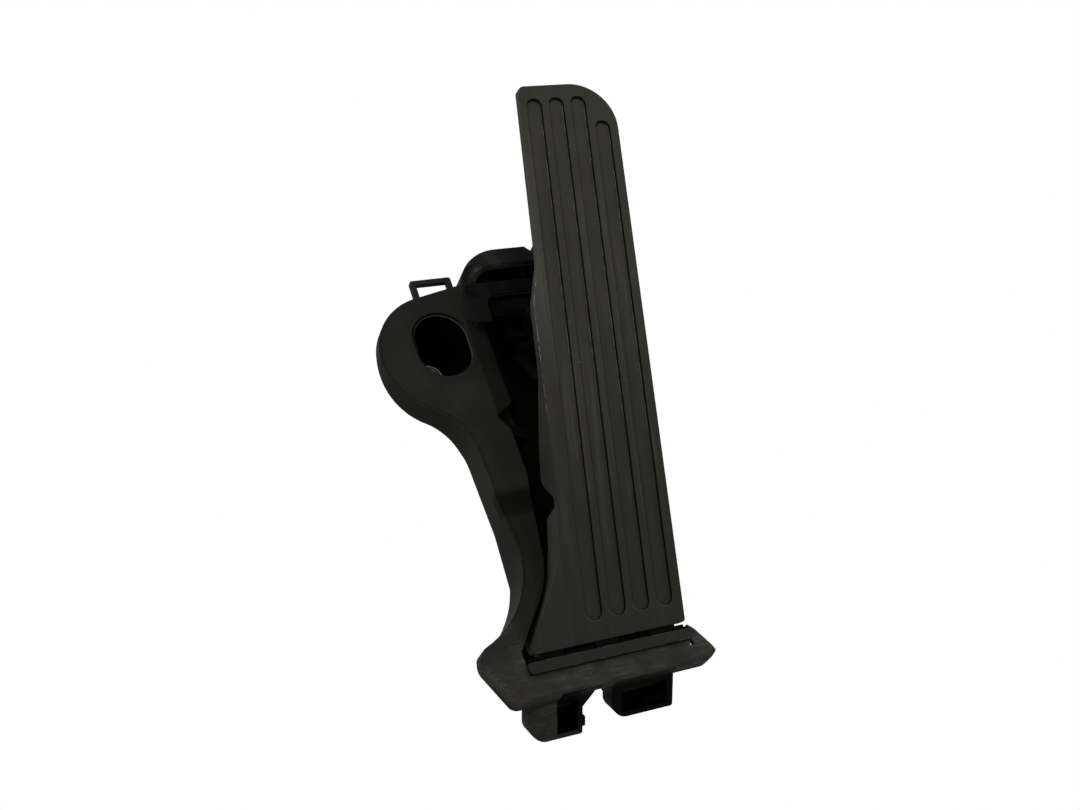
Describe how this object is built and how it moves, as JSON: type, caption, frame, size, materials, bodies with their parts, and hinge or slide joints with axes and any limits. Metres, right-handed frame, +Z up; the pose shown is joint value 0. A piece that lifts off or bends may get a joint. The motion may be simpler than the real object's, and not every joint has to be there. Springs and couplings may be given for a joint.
{
  "type": "accelerator pedal",
  "caption": "Floor-hinged accelerator pedal: leaning grooved tread plate on a moulded housing with a sprung return lever, bolt sleeve, floor claws and position sensor.",
  "frame": {"origin": "centre of the upper fixing sleeve's rear face, on the mounting wall", "axes": "+X to the driver's right, +Y forward into the mounting wall, +Z up along the mounting wall"},
  "size_m": [0.1136, 0.0882, 0.2507],
  "materials": {
    "housing": "fine grain, dusty",
    "plate": "satin, worn",
    "strip": "satin",
    "lever": "satin",
    "slider": "smooth",
    "steel": "plated",
    "spring_wire": "oiled",
    "rubber": "dull",
    "board": "lacquered",
    "contact": "tinned",
    "target": "satin"
  },
  "bodies": {
    "housing": {"module_housing": "housing", "hinge_strip": "strip", "hinge_pin": "steel", "spacer_sleeve": "steel", "end_buffer": "rubber", "idle_stop": "rubber", "spring_cap": "slider", "return_spring_outer": "spring_wire", "return_spring_inner": "spring_wire", "shaft_bush": "slider", "sensor_cover": "housing", "circuit_board": "board", "connector_pins": "contact", "cover_seal": "rubber", "cover_screw": "steel", "cable_guide": "housing"},
    "pedal": {"pedal_plate": "plate", "slide_pad": "slider"},
    "return_lever": {"lever": "lever", "lever_shaft": "steel", "lever_shoe": "slider", "spring_seat": "slider", "sensor_target": "target", "shaft_clip": "spring_wire"}
  },
  "joints": [
    {"name": "pedal_hinge", "type": "hinge", "parent": "housing", "child": "pedal", "pos_m": [0.022, -0.0345, -0.1395], "axis": [-1, 0, 0], "range_deg": [0, 12.5], "stiffness_Nm_per_rad": 20, "springref_deg": -6.88},
    {"name": "lever_pivot", "type": "hinge", "parent": "housing", "child": "return_lever", "pos_m": [0.046, -0.024, 0.018], "axis": [1, 0, 0], "range_deg": [0, 31.4], "deforming": ["return_spring_outer", "return_spring_inner"]}
  ],
  "couplings": [
    {"joint": "lever_pivot", "follows": "pedal_hinge", "ratio": 2.506}
  ]
}
